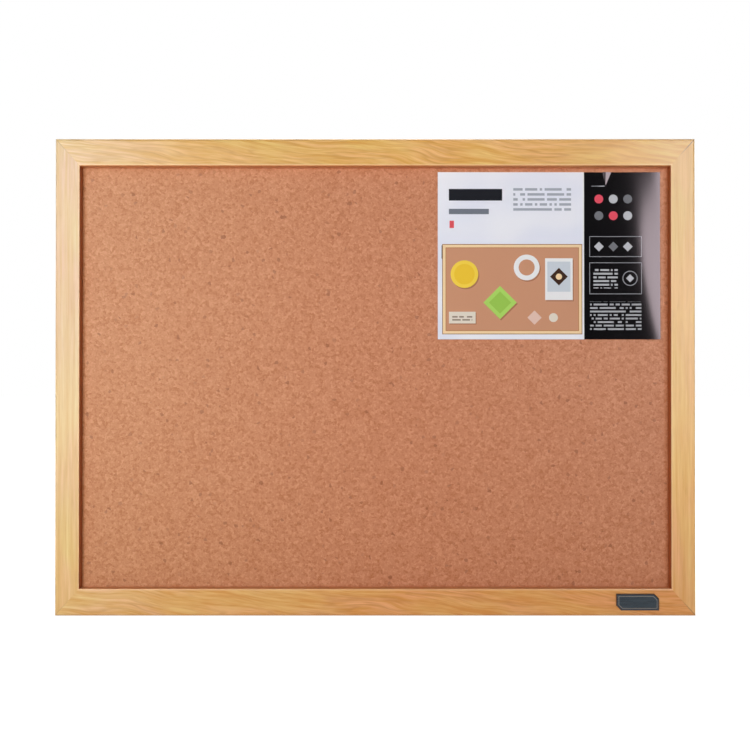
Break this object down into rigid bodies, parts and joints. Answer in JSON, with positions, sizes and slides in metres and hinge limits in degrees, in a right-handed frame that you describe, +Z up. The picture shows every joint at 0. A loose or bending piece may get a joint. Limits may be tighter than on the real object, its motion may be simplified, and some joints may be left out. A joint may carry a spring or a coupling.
{
  "type": "pinboard",
  "caption": "Wall pinboard with a mitred wooden frame, a cork field, a stapled leaflet and swinging hanger rings.",
  "frame": {"origin": "behind the board's centre, in the plane of the wall that the bumpers touch", "axes": "+X along the board's width, to the right for someone facing it; +Z up; the front faces -Y and the wall is on the +Y side"},
  "size_m": [0.6, 0.0233, 0.447],
  "materials": {
    "oak_foil": "satin",
    "cork": "matte",
    "fibreboard": "matte",
    "hardboard": "matte",
    "zinc_steel": "satin",
    "bright_steel": "satin",
    "printed_card": "gloss",
    "slate_plate": "satin",
    "foam_tape": "matte",
    "soft_rubber": "matte"
  },
  "bodies": {
    "board": {"frame_rail_top": "oak_foil", "frame_rail_bottom": "oak_foil", "frame_rail_left": "oak_foil", "frame_rail_right": "oak_foil", "cork_sheet": "cork", "core_board": "fibreboard", "back_sheet": "hardboard", "v_nail_top_left_1": "bright_steel", "v_nail_top_left_2": "bright_steel", "v_nail_top_right_1": "bright_steel", "v_nail_top_right_2": "bright_steel", "v_nail_bottom_left_1": "bright_steel", "v_nail_bottom_left_2": "bright_steel", "v_nail_bottom_right_1": "bright_steel", "v_nail_bottom_right_2": "bright_steel", "leaflet_staple_side": "bright_steel", "leaflet_staple_top": "bright_steel", "framer_point_top_1": "zinc_steel", "framer_point_top_2": "zinc_steel", "framer_point_top_3": "zinc_steel", "framer_point_bottom_1": "zinc_steel", "framer_point_bottom_2": "zinc_steel", "framer_point_bottom_3": "zinc_steel", "framer_point_left_1": "zinc_steel", "framer_point_left_2": "zinc_steel", "framer_point_right_1": "zinc_steel", "framer_point_right_2": "zinc_steel", "hanger_strap_left": "zinc_steel", "hanger_strap_right": "zinc_steel", "hanger_screw_left_1": "zinc_steel", "hanger_screw_left_2": "zinc_steel", "hanger_screw_right_1": "zinc_steel", "hanger_screw_right_2": "zinc_steel", "leaflet": "printed_card", "nameplate": "slate_plate", "nameplate_tape": "foam_tape", "wall_bumper_left": "soft_rubber", "wall_bumper_right": "soft_rubber"},
    "ring_left": {"hanger_ring_left": "bright_steel"},
    "ring_right": {"hanger_ring_right": "bright_steel"}
  },
  "joints": [
    {"name": "ring_swing_left", "type": "hinge", "parent": "board", "child": "ring_left", "pos_m": [-0.2915, -0.0025, 0.1335], "axis": [-1, 0, 0], "range_deg": [0, 182]},
    {"name": "ring_swing_right", "type": "hinge", "parent": "board", "child": "ring_right", "pos_m": [0.2915, -0.0025, 0.1335], "axis": [-1, 0, 0], "range_deg": [0, 182]}
  ]
}
